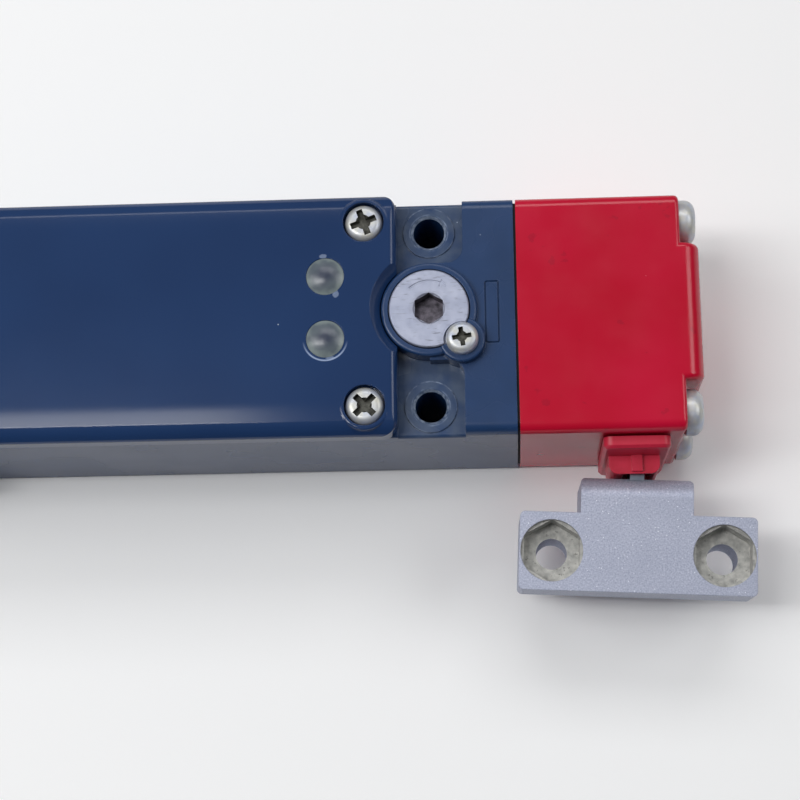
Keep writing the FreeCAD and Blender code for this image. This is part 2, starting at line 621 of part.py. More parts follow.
def release_cam():
    hub = rod_z(24.2, 28.4, DISC[0], DISC[1], 5.0)
    lobe = rod_z(24.2, 28.4, DISC[0] + 5.5, DISC[1], 2.6)
    web = block(DISC[0], DISC[0] + 5.5, DISC[1] - 2.6, DISC[1] + 2.6, 24.2, 28.4)
    return joined([hub, lobe, web]).cut(rod_z(20, 30, DISC[0], DISC[1], 3.0))


def release_circlip():
    ring = rod_z(28.6, 29.4, DISC[0], DISC[1], 5.2).cut(rod_z(20, 40, DISC[0], DISC[1], 3.0))
    return ring.cut(block(-1.2, 1.2, DISC[1] + 1, DISC[1] + 7, 20, 40))


def release_oring():
    return Part.makeTorus(3.95, 0.9, vec(DISC[0], DISC[1], 36.75))


def sealing_screw():
    screw = pan_screw(SEAL_HEAD_R, 2.2, SEAL_SHANK_R, 8.0, 4.0)
    screw.rotate(vec(0, 0, 0), vec(0, 0, 1), 8)
    screw.translate(vec(SEAL[0], SEAL[1], LOBE_TOP))
    return screw


# ---- inside the body ----------------------------------------------------------------
def transmission_rod():
    shank = rod_x(-40.0, 22.5, ROD_Y, AXIS_Z, ROD_R)
    tip = Part.makeCone(ROD_R, 1.0, 3.6, vec(22.5, ROD_Y, AXIS_Z), vec(1, 0, 0))
    spring_collar = rod_x(-10.0, -8.0, ROD_Y, AXIS_Z, 4.5)
    lock_collar = rod_x(-2.0, 0.0, ROD_Y, AXIS_Z, 4.5)
    return joined([shank, tip, spring_collar, lock_collar])


def rod_spring():
    return spring_x(-25.9, -10.1, ROD_Y, AXIS_Z, 3.9, 0.4, 6)


def chassis_corners():
    return [(x, y) for x in (-100.0, -28.5) for y in (19.0, -19.0)]


def chassis_plate():
    shape = block(-104.5, -19.4, -21.5, 21.5, 5.0, CHASSIS_TOP)
    shape = shape.makeFillet(4.0, edges_along(shape, vec(0, 0, 1), lambda c: True))
    holes = [rod_z(4, 8, x, y, 1.7) for x, y in chassis_corners()]
    holes.append(rod_z(4, 8, LEVER[0], LEVER[1], 1.5))
    return shape.cut(group(holes))


def chassis_screws():
    screws = []
    for x, y in chassis_corners():
        screw = pan_screw(2.8, 1.9, 1.45, 4.0, 3.6)
        screw.translate(vec(x, y, CHASSIS_TOP))
        screws.append(screw)
    return group(screws)


def contact_block():
    shape = block(-62.0, -26.0, -16.0, 1.0, CHASSIS_TOP, 31.0)
    bore = rod_x(-47.0, -25.0, ROD_Y, AXIS_Z, 3.6)
    steps = [block(x - 4, x + 4, y - 3.6, y + 3.6, 27.0, 32) for x, y in contact_points()]
    return shape.cut(group([bore] + steps))


def contact_points():
    return [(x, y) for x in (-56.0, -32.0) for y in (-12.0, -3.0)]


def contact_clamps():
    clamps = []
    for x, y in contact_points():
        clamp = block(x - 3.4, x + 3.4, y - 3.2, y + 3.2, 27.0, 28.6)
        clamps.append(clamp.cut(rod_z(26, 30, x, y, 1.5)))
    return group(clamps)


def contact_screws():
    screws = []
    for x, y in contact_points():
        screw = pan_screw(2.7, 1.8, 1.45, 1.6, 3.4)
        screw.translate(vec(x, y, 28.6))
        screws.append(screw)
    return group(screws)


def solenoid_yoke():
    y0, y1 = SOLENOID_Y - 9.5, SOLENOID_Y + 9.5
    base = block(-72.0, -32.0, y0, y1, CHASSIS_TOP, CHASSIS_TOP + 2)
    ends = [block(x, x + 2, y0, y1, CHASSIS_TOP, 30.0) for x in (-72.0, -34.0)]
    bore = rod_x(-35.0, -31.0, SOLENOID_Y, AXIS_Z, 3.4)
    return joined([base] + ends).cut(bore)


def coil_bobbin():
    tube = rod_x(-70.0, -34.0, SOLENOID_Y, AXIS_Z, 4.4)
    flanges = [rod_x(x, x + 1.2, SOLENOID_Y, AXIS_Z, 9.3) for x in (-70.0, -35.2)]
    return joined([tube] + flanges).cut(rod_x(-71, -33, SOLENOID_Y, AXIS_Z, 3.4))


def coil_winding():
    winding = rod_x(-68.8, -35.2, SOLENOID_Y, AXIS_Z, 8.7)
    return winding.cut(rod_x(-70, -34, SOLENOID_Y, AXIS_Z, 4.4))


def solenoid_core():
    return rod_x(-70.0, -57.0, SOLENOID_Y, AXIS_Z, 3.4)


def solenoid_plunger():
    y, z = SOLENOID_Y, AXIS_Z
    barrel = rod_x(-55.5, -25.5, y, z, 3.4 - RUN_FIT)
    collar = rod_x(-27.0, -25.5, y, z, 4.6)
    neck = rod_x(-25.6, -18.4, y, z, 1.5)
    head = rod_x(-18.5, -17.0, y, z, 3.0)
    return joined([barrel, collar, neck, head])


def plunger_spring():
    return spring_x(-31.9, -27.1, SOLENOID_Y, AXIS_Z, 4.0, 0.35, 3)


def lock_lever():
    x, y = LEVER
    hub = rod_z(15.0, 25.0, x, y, 3.8)
    arm_a = block(x - 2, x + 2, y, SOLENOID_Y - 3, 15.0, 25.0)
    fork = block(x - 1.9, x + 1.9, SOLENOID_Y - 4, SOLENOID_Y + 3.2, 15.0, 25.0)
    fork = fork.cut(block(x - 5, x + 5, SOLENOID_Y - 2.2, SOLENOID_Y + 9, 18.1, 21.9))
    arm_b = block(x, -4.0, y - 3.0, y + 1.5, 18.0, 22.0)
    tooth = block(-6.0, -3.0, y - 3.0, y + 1.5, 18.0, 22.0)
    shape = joined([hub, arm_a, fork, arm_b, tooth])
    return shape.cut(rod_z(10, 30, x, y, 1.5 + RUN_FIT))


def lever_pin():
    return rod_z(5.0, 26.5, LEVER[0], LEVER[1], 1.5)


def terminal_points():
    return [(-98.5 + 5.4 * k, y) for k in range(5) for y in (-8.5, 8.5)]


def terminal_block():
    shape = block(-102.0, -70.0 - 4.0, -15.0, 15.0, CHASSIS_TOP, 21.0)
    ridge = block(-102.0, -74.0, -5.0, 5.0, 20.0, 26.0)
    shape = joined([shape, ridge])
    wells = [rod_z(17.0, 22, x, y, 2.4) for x, y in terminal_points()]
    mouths = [rod_y(-16, -10, x, 12.0, 1.6) for x, y in terminal_points() if y < 0]
    mouths += [rod_y(10, 16, x, 12.0, 1.6) for x, y in terminal_points() if y > 0]
    return shape.cut(group(wells + mouths))


def terminal_screws():
    screws = []
    for x, y in terminal_points():
        head = rod_z(17.0, 19.4, x, y, 2.2)
        screws.append(head.cut(block(x - 3, x + 3, y - 0.3, y + 0.3, 18.6, 20)))
    return group(screws)


def earth_screw():
    screw = pan_screw(4.0, 2.4, 1.95, 5.5, 4.6)
    washer = rod_z(-1.0, 0.0, 0, 0, 4.6).cut(rod_z(-2, 1, 0, 0, 1.95))
    screw = group([screw, washer])
    screw.translate(vec(EARTH[0], EARTH[1], EARTH[2] + 1.0))
    return screw


def entry_plugs():
    plugs = []
    for side in (1, -1):
        head = hexagon(0, 0, 22.0, HALF + 1.2, HALF + 4.2, 0).common(rod_z(0, 60, 0, 0, 12.2))
        slot = block(-8, 8, -0.8, 0.8, HALF + 3.2, HALF + 6)
        stem = rod_z(HALF - 8.0, HALF + 1.3, 0, 0, ENTRY_R)
        hollow = rod_z(HALF - 9.0, HALF - 1.0, 0, 0, ENTRY_R - 2.2)
        plug = joined([head, stem]).cut(slot).cut(hollow)
        plug.rotate(vec(0, 0, 0), vec(1, 0, 0), -90 * side)
        plug.translate(vec(SIDE_ENTRY_X, 0, ENTRY_Z))
        plugs.append(plug)
    return group(plugs)


def plug_seals():
    seals = []
    for side in (1, -1):
        y0, y1 = (HALF, HALF + 1.2) if side > 0 else (-HALF - 1.2, -HALF)
        ring = rod_y(y0, y1, SIDE_ENTRY_X, ENTRY_Z, 11.0)
        seals.append(ring.cut(rod_y(y0 - 1, y1 + 1, SIDE_ENTRY_X, ENTRY_Z, ENTRY_R)))
    return group(seals)


NODES = [
    body_casting, lid, lid_gasket, lid_screws, indicator_lenses, indicator_leds, led_board,
    head_gasket, head_housing, head_screws, tongue_guide, slot_plug, cam_axle, rod_bush, cam_wheel,
    actuator_bracket, tongue, tongue_rivets,
    release_disc, release_cam, release_circlip, release_oring, sealing_screw,
    transmission_rod, rod_spring, chassis_plate, chassis_screws,
    contact_block, contact_clamps, contact_screws,
    solenoid_yoke, coil_bobbin, coil_winding, solenoid_core, solenoid_plunger, plunger_spring,
    lock_lever, lever_pin, terminal_block, terminal_screws, earth_screw, entry_plugs, plug_seals,
]

for make in NODES:
    save(make.__name__, make())
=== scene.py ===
from math import pi, radians

import bpy
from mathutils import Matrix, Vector


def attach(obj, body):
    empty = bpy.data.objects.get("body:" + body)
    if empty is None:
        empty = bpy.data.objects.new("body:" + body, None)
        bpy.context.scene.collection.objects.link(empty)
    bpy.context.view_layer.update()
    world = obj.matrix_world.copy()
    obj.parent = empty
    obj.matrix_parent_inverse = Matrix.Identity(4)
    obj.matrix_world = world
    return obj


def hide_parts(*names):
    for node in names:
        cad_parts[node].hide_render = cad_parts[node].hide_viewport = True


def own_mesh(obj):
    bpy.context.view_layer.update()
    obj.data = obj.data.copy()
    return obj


# Tongue-operated guard-locking safety switch, dressed in the order in which it is put together.
# Lengths are in metres in the row frame: +X towards the red head, +Z out through the lid.

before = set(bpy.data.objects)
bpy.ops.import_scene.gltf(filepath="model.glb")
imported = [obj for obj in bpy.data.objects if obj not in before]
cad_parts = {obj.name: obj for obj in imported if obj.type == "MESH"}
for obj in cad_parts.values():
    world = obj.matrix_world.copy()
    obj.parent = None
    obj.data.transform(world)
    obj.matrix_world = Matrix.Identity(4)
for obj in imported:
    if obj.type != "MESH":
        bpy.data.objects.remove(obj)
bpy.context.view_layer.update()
MM = 0.001


# ---- body casting --------------------------------------------------------------------
# The body is a zinc die casting in blue stoved enamel, drilled for its mounting screws.
# The enamel is chipped and scuffed round the holes, where screw heads were done up and undone;
# the pale rim of each hole is partly painted highlight.
def linear(code):
    """An sRGB hex colour as linear red, green, blue and alpha."""
    channels = [int(code[i:i + 2], 16) / 255 for i in (0, 2, 4)]
    return [c / 12.92 if c <= 0.04045 else ((c + 0.055) / 1.055) ** 2.4 for c in channels] + [1.0]


def add(material, kind, sockets=None, **settings):
    """Adds a shader node with its settings. Each socket gets a value, or a link from another node."""
    tree = material.node_tree
    node = tree.nodes.new(kind)
    for name, value in settings.items():
        setattr(node, name, value)
    for name, value in (sockets or {}).items():
        if isinstance(value, bpy.types.NodeSocket):
            tree.links.new(value, node.inputs[name])
        else:
            node.inputs[name].default_value = value
    return node


def finish(name, **values):
    """A new material, its principled shader with these values on its own sockets, and the place
    on the surface as object coordinates, which are metres in the row frame on every piece."""
    material = bpy.data.materials.new(name)
    material.use_nodes = True
    shader = material.node_tree.nodes["Principled BSDF"]
    for socket, value in values.items():
        shader.inputs[socket.replace("_", " ")].default_value = value
    return material, shader, add(material, "ShaderNodeTexCoord").outputs["Object"]


def wire(material, source, shader, socket):
    material.node_tree.links.new(source, shader.inputs[socket])


def count(material, operation, first, second=0.0):
    """Arithmetic on two values or sockets."""
    return add(material, "ShaderNodeMath", {0: first, 1: second}, operation=operation).outputs[0]


def spread(material, value, low, high, start, end):
    """The value's range from low to high, stretched to run from start to end and held there."""
    sockets = {"Value": value, "From Min": low, "From Max": high, "To Min": start, "To Max": end}
    return add(material, "ShaderNodeMapRange", sockets).outputs["Result"]


def mottle(material, spot, size, start, end, detail=2.0):
    """Cloudy noise of that real size, spread between two values."""
    sockets = {"Vector": spot, "Scale": 1 / size, "Detail": detail}
    noise = add(material, "ShaderNodeTexNoise", sockets).outputs["Fac"]
    return spread(material, noise, 0.3, 0.7, start, end)


def tint(material, factor, first, second):
    """Blends two colours, given as hex codes or sockets, by a factor."""
    mix = add(material, "ShaderNodeMix", {0: factor}, data_type="RGBA")
    for index, colour in ((6, first), (7, second)):
        if isinstance(colour, str):
            mix.inputs[index].default_value = linear(colour)
        else:
            material.node_tree.links.new(colour, mix.inputs[index])
    return mix.outputs[2]


def specks(material, spot, spacing, radius, share):
    """1 on small round specks of that radius, on a share of cells that far apart."""
    cells = add(material, "ShaderNodeTexVoronoi", {"Vector": spot, "Scale": 1 / spacing})
    near = count(material, "LESS_THAN", cells.outputs["Distance"], radius / spacing)
    chance = add(material, "ShaderNodeSeparateColor", {0: cells.outputs["Color"]}).outputs[0]
    return count(material, "MULTIPLY", near, count(material, "LESS_THAN", chance, share))


def band(material, value, low, high, soft):
    """1 between two values, and falling to 0 over the soft distance outside them."""
    rise = spread(material, value, low - soft, low, 0.0, 1.0)
    fall = spread(material, value, high, high + soft, 1.0, 0.0)
    return count(material, "MULTIPLY", rise, fall)


def from_axis(material, spot, x, y, flat=(1, 1, 0)):
    """Distance from an upright axis at x, y. Flat scales the directions before it is measured."""
    both = {0: spot, 1: flat}
    scaled = add(material, "ShaderNodeVectorMath", both, operation="MULTIPLY").outputs[0]
    centre = (x * flat[0], y * flat[1], 0)
    sockets = {0: scaled, 1: centre}
    return add(material, "ShaderNodeVectorMath", sockets, operation="DISTANCE").outputs["Value"]


def rough_up(material, shader, spot, grain, depth, detail=2.0, edge=0.0):
    """Bump of that grain and depth, over edges worn round to that radius."""
    sockets = {"Vector": spot, "Scale": 1 / grain, "Detail": detail}
    noise = add(material, "ShaderNodeTexNoise", sockets).outputs["Fac"]
    bump = add(material, "ShaderNodeBump", {"Height": noise, "Distance": depth, "Strength": 1.0})
    if edge:
        worn = add(material, "ShaderNodeBevel", {"Radius": edge}, samples=4).outputs[0]
        wire(material, worn, bump, "Normal")
    wire(material, bump.outputs["Normal"], shader, "Normal")


SHARP_ANGLE = radians(32)   # faces that meet at a larger angle keep a crisp edge


def dress(name, material):
    """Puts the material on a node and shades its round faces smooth."""
    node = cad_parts[name]
    node.data.materials.clear()
    node.data.materials.append(material)
    node.data.shade_smooth()
    node.data.set_sharp_from_angle(angle=SHARP_ANGLE)
    even = node.modifiers.new("even shading", "WEIGHTED_NORMAL")
    even.keep_sharp = True
    return node


def regrade(node, material, chosen):
    """Gives a second material to the faces whose centre passes the test."""
    node.data.materials.append(material)
    for face in node.data.polygons:
        if chosen(face.center):
            face.material_index = len(node.data.materials) - 1


def reach(centre, x, y):
    """Distance of a face's centre from an upright axis."""
    return (Vector((centre.x, centre.y)) - Vector((x, y))).length


HOLES = [(x * MM, side * 19 * MM) for x in (0, -142) for side in (1, -1)]
HOLE_R = 3.3 * MM
BEVEL = 0.5 * MM            # bevel round each hole's mouth
LEDGE_Z = 36.5 * MM
RING_RISE = 0.3 * MM        # a flat ring round each hole stands this far above the ledge
SCUFF_AND_HIGHLIGHT_RINGS = ((HOLE_R + 0.7 * MM, 0.1 * MM), (HOLE_R + 2.1 * MM, 0.15 * MM))    # radius and width; the inner ring is partly painted highlight, the outer a scuff

# Stoved enamel: faint orange peel, dust in the ledges, worn edges and a few pale specks.
body_enamel, shader, spot = finish("stoved blue enamel, body", Roughness=0.27, IOR=1.5)
colour = tint(body_enamel, mottle(body_enamel, spot, 9 * MM, 0, 1), "1C3860", "203D68")
height = add(body_enamel, "ShaderNodeSeparateXYZ", {0: spot}).outputs["Z"]
ledge = band(body_enamel, height, LEDGE_Z - 0.3 * MM, LEDGE_Z + RING_RISE + 0.05 * MM, 0.1 * MM)
dust = count(body_enamel, "MULTIPLY", ledge, mottle(body_enamel, spot, 4 * MM, 0.05, 0.5, 8.0))
colour = tint(body_enamel, dust, colour, "64707E")
# Pale rings round each hole: the outer one a scuff, the inner one partly scuff and partly painted
# highlight.
for x, y in HOLES:
    radius = from_axis(body_enamel, spot, x, y)
    wear = mottle(body_enamel, spot, 1.5 * MM, -0.5, 0.8, 5.0)
    for ring, width in SCUFF_AND_HIGHLIGHT_RINGS:
        scuff = band(body_enamel, radius, ring, ring + width, 0.15 * MM)
        scuff = count(body_enamel, "MULTIPLY", count(body_enamel, "MULTIPLY", scuff, ledge), wear)
        colour = tint(body_enamel, scuff, colour, "8494AE")
colour = tint(body_enamel, specks(body_enamel, spot, 5 * MM, 0.13 * MM, 0.3), colour, "A9B6CC")
wire(body_enamel, colour, shader, "Base Color")
wire(body_enamel, mottle(body_enamel, spot, 20 * MM, 0.24, 0.3), shader, "Roughness")
rough_up(body_enamel, shader, spot, 1.8 * MM, 0.01 * MM, edge=0.3 * MM)
body = dress("body_casting", body_enamel)

# Enamel chipped down to the zinc on the bevels of the holes, and painted highlight: pale flakes
# between blue patches.
chips_and_highlight, shader, spot = finish("stoved blue enamel, chipped to the zinc", Roughness=0.4, Metallic=0.3)
flake = mottle(chips_and_highlight, spot, 0.9 * MM, 0, 1, 6.0)
wire(chips_and_highlight, tint(chips_and_highlight, flake, "2B4468", "A3B1C6"), shader, "Base Color")
rough_up(chips_and_highlight, shader, spot, 0.4 * MM, 0.04 * MM)
regrade(body, chips_and_highlight, lambda c: LEDGE_Z - 0.3 * MM < c.z < LEDGE_Z + RING_RISE - 0.01 * MM
        and any(HOLE_R < reach(c, x, y) < HOLE_R + BEVEL for x, y in HOLES))

# ---- lid and its gasket --------------------------------------------------------------
# The lid is a flat die casting in the same enamel, its long sides rolled down to the body.
# It lies on a rubber gasket, held by four screws in round pockets, and clear adhesive has
# squeezed out beside its two lenses.
LENSES = [(-21.6 * MM, 8.0 * MM), (-21.6 * MM, -5.5 * MM)]
LENS_R = 3.95 * MM
ADHESIVE_RING = (4.5 * MM, 4.7 * MM)    # inner and outer radius of the line round the near lens
RING_FADE = (-9 * MM, -6 * MM)          # the line fades out between these two Y
# Places, from the first lens, and half sizes of the adhesive marks, in millimetres.
BLOBS = [(-0.45, 4.4, 0.85, 0.55), (2.2, -3.8, 0.7, 0.9), (1.2, -17.6, 1.2, 0.35)]

# Stoved enamel on a flat face: glossy, with dust specks and a haze that shows in the light.
lid_enamel, shader, spot = finish("stoved blue enamel, lid", Roughness=0.14, IOR=1.5)
colour = tint(lid_enamel, mottle(lid_enamel, spot, 35 * MM, 0, 1), "1A345E", "1E3A66")
colour = tint(lid_enamel, specks(lid_enamel, spot, 8 * MM, 0.13 * MM, 0.35), colour, "C3CEDF")
for dx, dy, rx, ry in BLOBS:
    place = (LENSES[0][0] + dx * MM, LENSES[0][1] + dy * MM)
    away = from_axis(lid_enamel, spot, *place, flat=(1 / rx, 1 / ry, 0))
    edge = mottle(lid_enamel, spot, 0.8 * MM, -0.15 * MM, 0.15 * MM, 3.0)
    blob = spread(lid_enamel, count(lid_enamel, "ADD", away, edge), 0.8 * MM, 1.0 * MM, 0.75, 0.0)
    colour = tint(lid_enamel, blob, colour, "7F8EAA")
ring = band(lid_enamel, from_axis(lid_enamel, spot, *LENSES[1]), *ADHESIVE_RING, 0.12 * MM)
side = add(lid_enamel, "ShaderNodeSeparateXYZ", {0: spot}).outputs["Y"]
ring = count(lid_enamel, "MULTIPLY", ring, spread(lid_enamel, side, *RING_FADE, 0.9, 0.0))
colour = tint(lid_enamel, ring, colour, "9FB0D0")
wire(lid_enamel, colour, shader, "Base Color")
wire(lid_enamel, mottle(lid_enamel, spot, 40 * MM, 0.12, 0.15), shader, "Roughness")
rough_up(lid_enamel, shader, spot, 1.1 * MM, 0.004 * MM, 3.0, edge=0.3 * MM)
dress("lid", lid_enamel)

# Moulded rubber: dull black, with a fine tooth.
rubber, shader, spot = finish("moulded black rubber", Roughness=0.75, IOR=1.52)
colour = tint(rubber, mottle(rubber, spot, 4 * MM, 0, 1), "141517", "1E2022")
wire(rubber, colour, shader, "Base Color")
rough_up(rubber, shader, spot, 0.5 * MM, 0.02 * MM)
for name in ("lid_gasket", "head_gasket", "plug_seals", "release_oring"):
    dress(name, rubber)

# ---- screws --------------------------------------------------------------------------
# Pan-head screws of zinc-plated steel with a cross recess, driven into the castings.
# Their recesses are painted dark olive grey as painted shade.
LID_SCREWS = [(x * MM, side * 19.75 * MM) for x in (-13.5, -128.5) for side in (1, -1)]
LID_TOP = 43.5 * MM
SEAL = (6.859 * MM, -5.859 * MM)
SEAL_TOP = 44.4 * MM
HEAD_SCREWS = [(side * 20.7 * MM, (20.2 + up * 13.2) * MM) for side in (1, -1) for up in (1, -1)]
HEAD_SCREW_X = 56.7 * MM
LID_RECESS_R = 2.85 * MM
SEAL_RECESS_R = 2.05 * MM
HEAD_RECESS_R = 3.25 * MM
RECESS_SKIN = 0.12 * MM     # the painted shade starts this far below the top of the screw's head

# Bright zinc plating: satin and slightly cloudy, blue-white with faint yellow patches.
zinc, shader, spot = finish("zinc-plated steel", Metallic=0.5, Roughness=0.38)
colour = tint(zinc, mottle(zinc, spot, 2.2 * MM, 0, 1, 4.0), "BCC3D4", "D4D2C6")
wire(zinc, colour, shader, "Base Color")
wire(zinc, mottle(zinc, spot, 1.2 * MM, 0.34, 0.5, 4.0), shader, "Roughness")
rough_up(zinc, shader, spot, 0.5 * MM, 0.012 * MM, edge=0.15 * MM)

# Painted shade in the recess: dull olive grey, paler in patches.
recess_shade, shader, spot = finish("painted recess shade on zinc plating", Metallic=0.35, Roughness=0.6)
colour = tint(recess_shade, mottle(recess_shade, spot, 0.9 * MM, 0, 1, 4.0), "35342F", "6E6E66")
wire(recess_shade, colour, shader, "Base Color")
rough_up(recess_shade, shader, spot, 0.3 * MM, 0.03 * MM)

for name in ("chassis_screws", "contact_screws", "terminal_screws"):
    dress(name, zinc)
regrade(dress("lid_screws", zinc), recess_shade, lambda c: c.z < LID_TOP - RECESS_SKIN
        and any(reach(c, x, y) < LID_RECESS_R for x, y in LID_SCREWS))
regrade(dress("sealing_screw", zinc), recess_shade, lambda c: c.z < SEAL_TOP - RECESS_SKIN
        and reach(c, *SEAL) < SEAL_RECESS_R)
regrade(dress("head_screws", zinc), recess_shade, lambda c: c.x < HEAD_SCREW_X - RECESS_SKIN
        and any((Vector((c.y, c.z)) - Vector(at)).length < HEAD_RECESS_R for at in HEAD_SCREWS))

# ---- indicator lenses and lamps ------------------------------------------------------
# Two domes moulded in clear polycarbonate, pressed into the lid. Behind each one a lamp of clear
# epoxy stands on a small circuit board.

# Moulded polycarbonate: hazy and grey-green at its thick rim, and darker towards the middle as
# painted shade of the dark inside.
polycarbonate, shader, spot = finish(
    "moulded clear polycarbonate", Roughness=0.3, IOR=1.585, Transmission_Weight=0.25
)
away = from_axis(polycarbonate, spot, *LENSES[0])
away = count(polycarbonate, "MINIMUM", away, from_axis(polycarbonate, spot, *LENSES[1]))
away = count(polycarbonate, "ADD", away, mottle(polycarbonate, spot, 2.5 * MM, -0.5 * MM, 0.5 * MM))
# Painted shade: the colour darkens towards the middle of each dome.
depth = spread(polycarbonate, away, 0.6 * MM, 3.1 * MM, 0.0, 1.0)
colour = tint(polycarbonate, depth, "39435A", "6F7A82")
rim = spread(polycarbonate, away, 3.0 * MM, LENS_R, 0.0, 0.9)
wire(polycarbonate, tint(polycarbonate, rim, colour, "98A5A4"), shader, "Base Color")
rough_up(polycarbonate, shader, spot, 0.9 * MM, 0.02 * MM)
dress("indicator_lenses", polycarbonate)

# Cast epoxy of the lamps: water-clear and glossy over a pale body.
lamp_epoxy, shader, spot = finish("cast clear epoxy", Roughness=0.12, IOR=1.54)
colour = tint(lamp_epoxy, mottle(lamp_epoxy, spot, 1 * MM, 0, 1), "A9AFA6", "D5DAD2")
wire(lamp_epoxy, colour, shader, "Base Color")
dress("indicator_leds", lamp_epoxy)

# Solder mask on glass-fibre board: smooth deep green, with a faint weave below.
solder_mask, shader, spot = finish("green solder mask", Roughness=0.35, IOR=1.5)
colour = tint(solder_mask, mottle(solder_mask, spot, 2 * MM, 0, 1), "14502A", "1B6234")
wire(solder_mask, colour, shader, "Base Color")
dress("led_board", solder_mask)

# ---- release disc --------------------------------------------------------------------
# The auxiliary release is a turned aluminium disc on a shaft, with a hexagon socket for a key.
# The socket's walls are painted dark as painted shade, and the key has scratched the face round it.
DISC = (0.0, 1.0 * MM)
DISC_TOP = 41.9 * MM
SOCKET_R = 3.5 * MM
SOCKET_DEPTHS = (0.31 * MM, 4 * MM)     # the painted shade on the walls starts below the bright bevel

# Turned aluminium: pale satin face with fine rings from the lathe and short scratches.
aluminium, shader, spot = finish("turned aluminium", Metallic=0.5, Roughness=0.4)
away = from_axis(aluminium, spot, *DISC)
colour = tint(aluminium, mottle(aluminium, spot, 3 * MM, 0, 1, 5.0), "A3A9BF", "B8BDD0")
sockets = {"Vector": spot, "Rotation": (0, 0, 0.6), "Scale": (1, 7, 1)}
stretch = add(aluminium, "ShaderNodeMapping", sockets).outputs[0]
scratch = mottle(aluminium, stretch, 2.5 * MM, -3.2, 1.0, 4.0)
colour = tint(aluminium, scratch, colour, "8C90A0")
smudge = spread(aluminium, away, 2.9 * MM, 4.4 * MM, 0.5, 0.0)
smudge = count(aluminium, "MULTIPLY", smudge, mottle(aluminium, spot, 1.4 * MM, 0, 1, 5.0))
colour = tint(aluminium, smudge, colour, "77727C")
wire(aluminium, colour, shader, "Base Color")
wire(aluminium, mottle(aluminium, spot, 1.5 * MM, 0.35, 0.46, 5.0), shader, "Roughness")
rough_up(aluminium, shader, spot, 0.35 * MM, 0.006 * MM, edge=0.15 * MM)
disc = dress("release_disc", aluminium)

# The socket: walls painted dark grey as painted shade, paler in patches.
socket, shader, spot = finish("painted shade in the hex socket", Metallic=0.5, Roughness=0.5)
worn = mottle(socket, spot, 1.5 * MM, 0, 1, 4.0)
wire(socket, tint(socket, worn, "2C2A30", "7A7480"), shader, "Base Color")
rough_up(socket, shader, spot, 0.5 * MM, 0.05 * MM)
regrade(disc, socket, lambda c: reach(c, *DISC) < SOCKET_R
        and SOCKET_DEPTHS[0] < DISC_TOP - c.z < SOCKET_DEPTHS[1])

# ---- head ----------------------------------------------------------------------------
# The head is a die casting in gloss red stoved enamel, held by four long screws from its end.
# It carries the cam that the tongue turns, and a blanked second slot in its end.

# Stoved enamel: deep wet red, with fine scratches and a few pale specks and dark scuffs.
head_enamel, shader, spot = finish("stoved red enamel", Roughness=0.2, IOR=1.5)
colour = tint(head_enamel, mottle(head_enamel, spot, 25 * MM, 0, 1), "BC0328", "C80A35")
scuff = mottle(head_enamel, spot, 3.5 * MM, -3.6, 0.3, 6.0)
colour = tint(head_enamel, scuff, colour, "8A0A28")
colour = tint(head_enamel, specks(head_enamel, spot, 5 * MM, 0.1 * MM, 0.22), colour, "E87F90")
wire(head_enamel, colour, shader, "Base Color")
wire(head_enamel, mottle(head_enamel, spot, 8 * MM, 0.16, 0.24), shader, "Roughness")
rough_up(head_enamel, shader, spot, 2.5 * MM, 0.006 * MM, edge=0.25 * MM)
dress("head_housing", head_enamel)

# ---- tongue guide and slot plug ------------------------------------------------------
# The guide is moulded in red nylon, a flange and a ribbed nose round the tongue's slot, pushed
# into the head's side. The slot in the head's end is closed by a plug of the same nylon.

# Moulded nylon: softer sheen than the enamel, with a fine tooth and paler worn edges.
nylon, shader, spot = finish("moulded red nylon", Roughness=0.38, IOR=1.53)
colour = tint(nylon, mottle(nylon, spot, 4 * MM, 0, 1, 4.0), "BE1434", "D02244")
wire(nylon, colour, shader, "Base Color")
rough_up(nylon, shader, spot, 0.5 * MM, 0.015 * MM, edge=0.3 * MM)
for name in ("tongue_guide", "slot_plug"):
    dress(name, nylon)

# ---- actuator ------------------------------------------------------------------------
# The bracket is a zinc die casting in silver metallic lacquer, and its nut pockets are left as
# cast. The ground steel tongue is riveted into it.
BRACKET_HOLES = [(24.545 * MM, -48.377 * MM), (60.499 * MM, -50.199 * MM)]
POCKET_Z = (21.9 * MM, 27.9 * MM)
POCKET_R = 6.75 * MM

# Metallic lacquer: flakes about 0.1 mm across, drawn 0.35 mm so that their sparkle shows, with
# near-white specks as painted glints of the flakes.
lacquer, shader, spot = finish("silver metallic lacquer on casting", Metallic=0.4, Roughness=0.45)
flake = mottle(lacquer, spot, 0.35 * MM, 0, 1, 2.0)
colour = tint(lacquer, flake, "9AA0B6", "C2C6D6")
colour = tint(lacquer, mottle(lacquer, spot, 7 * MM, 0.0, 0.2, 4.0), colour, "8F95AA")
# Painted glints: near-white specks where flakes would catch the light.
colour = tint(lacquer, specks(lacquer, spot, 0.6 * MM, 0.11 * MM, 0.15), colour, "E8EBF4")
wire(lacquer, colour, shader, "Base Color")
wire(lacquer, mottle(lacquer, spot, 0.5 * MM, 0.38, 0.55, 3.0), shader, "Roughness")
rough_up(lacquer, shader, spot, 0.45 * MM, 0.03 * MM, 3.0, edge=0.3 * MM)
bracket = dress("actuator_bracket", lacquer)

